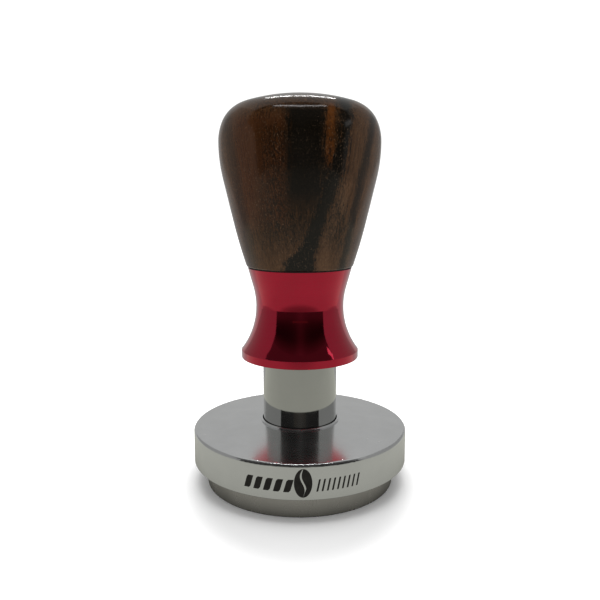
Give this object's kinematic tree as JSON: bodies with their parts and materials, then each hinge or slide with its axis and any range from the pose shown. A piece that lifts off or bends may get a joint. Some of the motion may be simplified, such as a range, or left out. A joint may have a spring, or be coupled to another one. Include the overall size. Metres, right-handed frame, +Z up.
{
  "type": "espresso tamper",
  "caption": "Spring-calibrated espresso tamper: flat steel base, free levelling ring on a polished stem, waisted red collar and a turned dark wood handle that presses down against a spring.",
  "frame": {"origin": "centre of the flat tamping face, which is also the bottom of the whole tool", "axes": "+Z up the tool's axis, from the tamping face towards the wooden handle; +Y away from the marked side of the levelling ring, which faces -Y"},
  "size_m": [0.0664, 0.0664, 0.1179],
  "materials": {
    "base_steel": "turned and fine-ground stainless steel",
    "satin_steel": "satin, bead-blasted and finely turned stainless steel with a dark laser mark",
    "polished_steel": "polished stainless steel",
    "red_anodised": "polished and red anodised",
    "dark_wood": "dark striped hardwood, satin lacquer",
    "black_rubber": "matt black rubber",
    "white_plastic": "matt acetal, PTFE or nylon",
    "spring_steel": "drawn spring steel",
    "zinc_steel": "zinc-plated steel",
    "machined_aluminium": "plain turned aluminium",
    "bronze": "sintered bronze",
    "brass": "turned brass"
  },
  "bodies": {
    "base": {"tamping_base": "base_steel", "buffer_ring": "black_rubber", "base_washer": "zinc_steel", "stem": "polished_steel", "spring_seat_bottom": "zinc_steel", "calibrated_spring": "spring_steel", "tie_rod": "zinc_steel", "stop_bumper": "black_rubber", "stop_washer": "zinc_steel", "stop_nut": "zinc_steel", "stop_nut_insert": "white_plastic"},
    "ring_carrier": {"ring_bush": "white_plastic", "wiper_seal": "black_rubber"},
    "ring": {"levelling_ring": "satin_steel", "bush_retaining_ring": "spring_steel"},
    "press_carrier": {"spring_seat_top": "zinc_steel", "thrust_washer": "white_plastic"},
    "handle": {"collar": "red_anodised", "collar_seal": "black_rubber", "collar_bush": "white_plastic", "plunger": "machined_aluminium", "plunger_bush": "bronze", "handle_gasket": "black_rubber", "handle_insert": "brass", "insert_screws": "zinc_steel", "wood_handle": "dark_wood"}
  },
  "joints": [
    {"name": "ring_slide", "type": "slide", "parent": "base", "child": "ring_carrier", "axis": [0, 0, 1], "range_m": [0, 0.0135]},
    {"name": "ring_spin", "type": "hinge", "parent": "ring_carrier", "child": "ring", "pos_m": [0, 0, 0.014], "axis": [0, 0, 1], "continuous": true},
    {"name": "handle_press", "type": "slide", "parent": "base", "child": "press_carrier", "axis": [0, 0, -1], "range_m": [0, 0.006], "stiffness_N_per_m": 8800, "springref_m": -0.006, "deforming": ["calibrated_spring"]},
    {"name": "handle_spin", "type": "hinge", "parent": "press_carrier", "child": "handle", "pos_m": [0, 0, 0.06], "axis": [0, 0, 1], "continuous": true}
  ]
}
